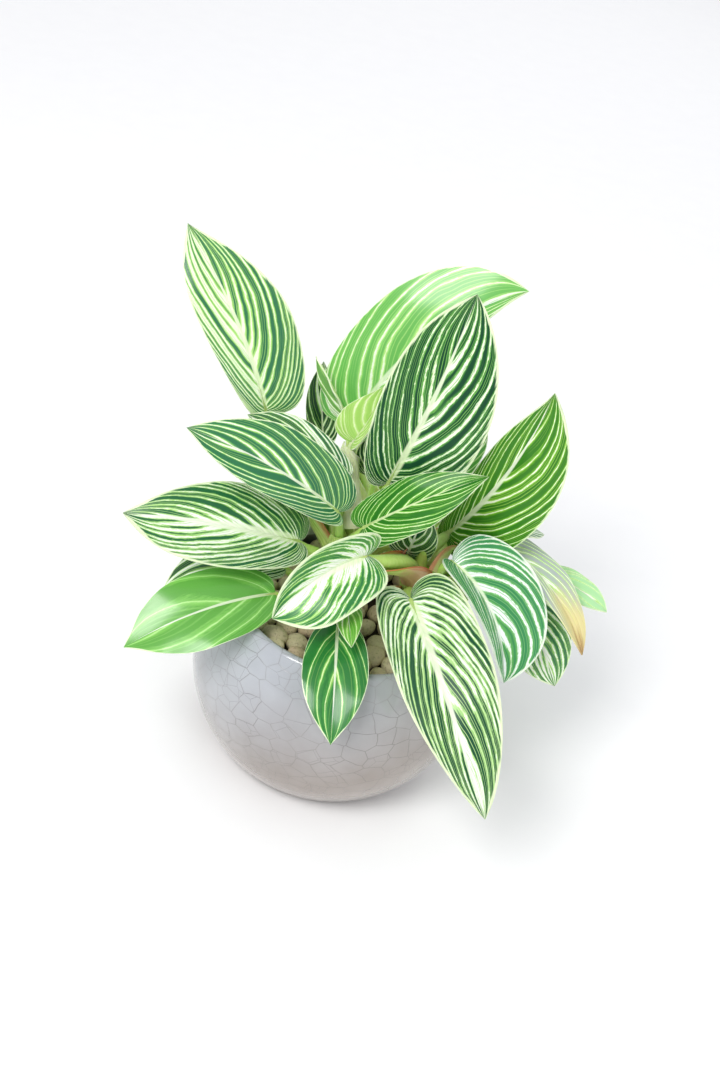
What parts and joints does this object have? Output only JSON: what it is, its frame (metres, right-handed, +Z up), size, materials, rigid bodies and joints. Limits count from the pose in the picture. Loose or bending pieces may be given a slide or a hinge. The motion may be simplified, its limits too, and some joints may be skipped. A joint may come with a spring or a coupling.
{
  "type": "potted philodendron",
  "caption": "Small philodendron with cream-striped pointed leaves on short stems, in a round glazed bowl topped with pebbles.",
  "frame": {"origin": "centre of the bowl's flat foot, on the surface that it stands on", "axes": "+Z up, -Y towards the side shown in the picture, +X to its right"},
  "size_m": [0.164, 0.1655, 0.1751],
  "materials": {
    "bowl_glaze": "gloss",
    "soil": "matte",
    "pebble": "matte",
    "stem": "satin",
    "leaf_green": "satin",
    "leaf_pale": "satin",
    "leaf_dark": "satin"
  },
  "bodies": {
    "root": {"pot": "bowl_glaze", "soil": "soil", "pebbles": "pebble", "stem_left": "stem", "stem_right": "stem", "stem_back": "stem", "leaf_tall_left": "leaf_green", "leaf_left_inner": "leaf_pale", "leaf_left_upper": "leaf_dark", "leaf_left_middle": "leaf_pale", "leaf_left_low_green": "leaf_green", "leaf_left_low_dark": "leaf_dark", "leaf_front_pale": "leaf_pale", "leaf_front_bud": "leaf_green", "leaf_front_hanging": "leaf_dark", "leaf_front_long": "leaf_pale", "leaf_right_front": "leaf_green", "leaf_right_upper": "leaf_green", "leaf_middle_green": "leaf_green", "leaf_tall_middle": "leaf_dark", "leaf_tall_back": "leaf_green", "leaf_back_small": "leaf_dark", "leaf_back_sliver": "leaf_pale", "leaf_new": "leaf_pale", "leaf_inner_dark": "leaf_dark", "leaf_inner_small": "leaf_dark", "leaf_right_yellowing": "leaf_green", "leaf_right_small": "leaf_green", "leaf_right_low": "leaf_dark", "leaf_rear_left": "leaf_dark", "leaf_rear_middle": "leaf_green", "leaf_rear_right": "leaf_pale", "leaf_rear_upper_left": "leaf_dark", "leaf_rear_upper_right": "leaf_green", "leaf_rear_low_right": "leaf_dark", "leaf_rear_low_left": "leaf_green"}
  },
  "joints": []
}
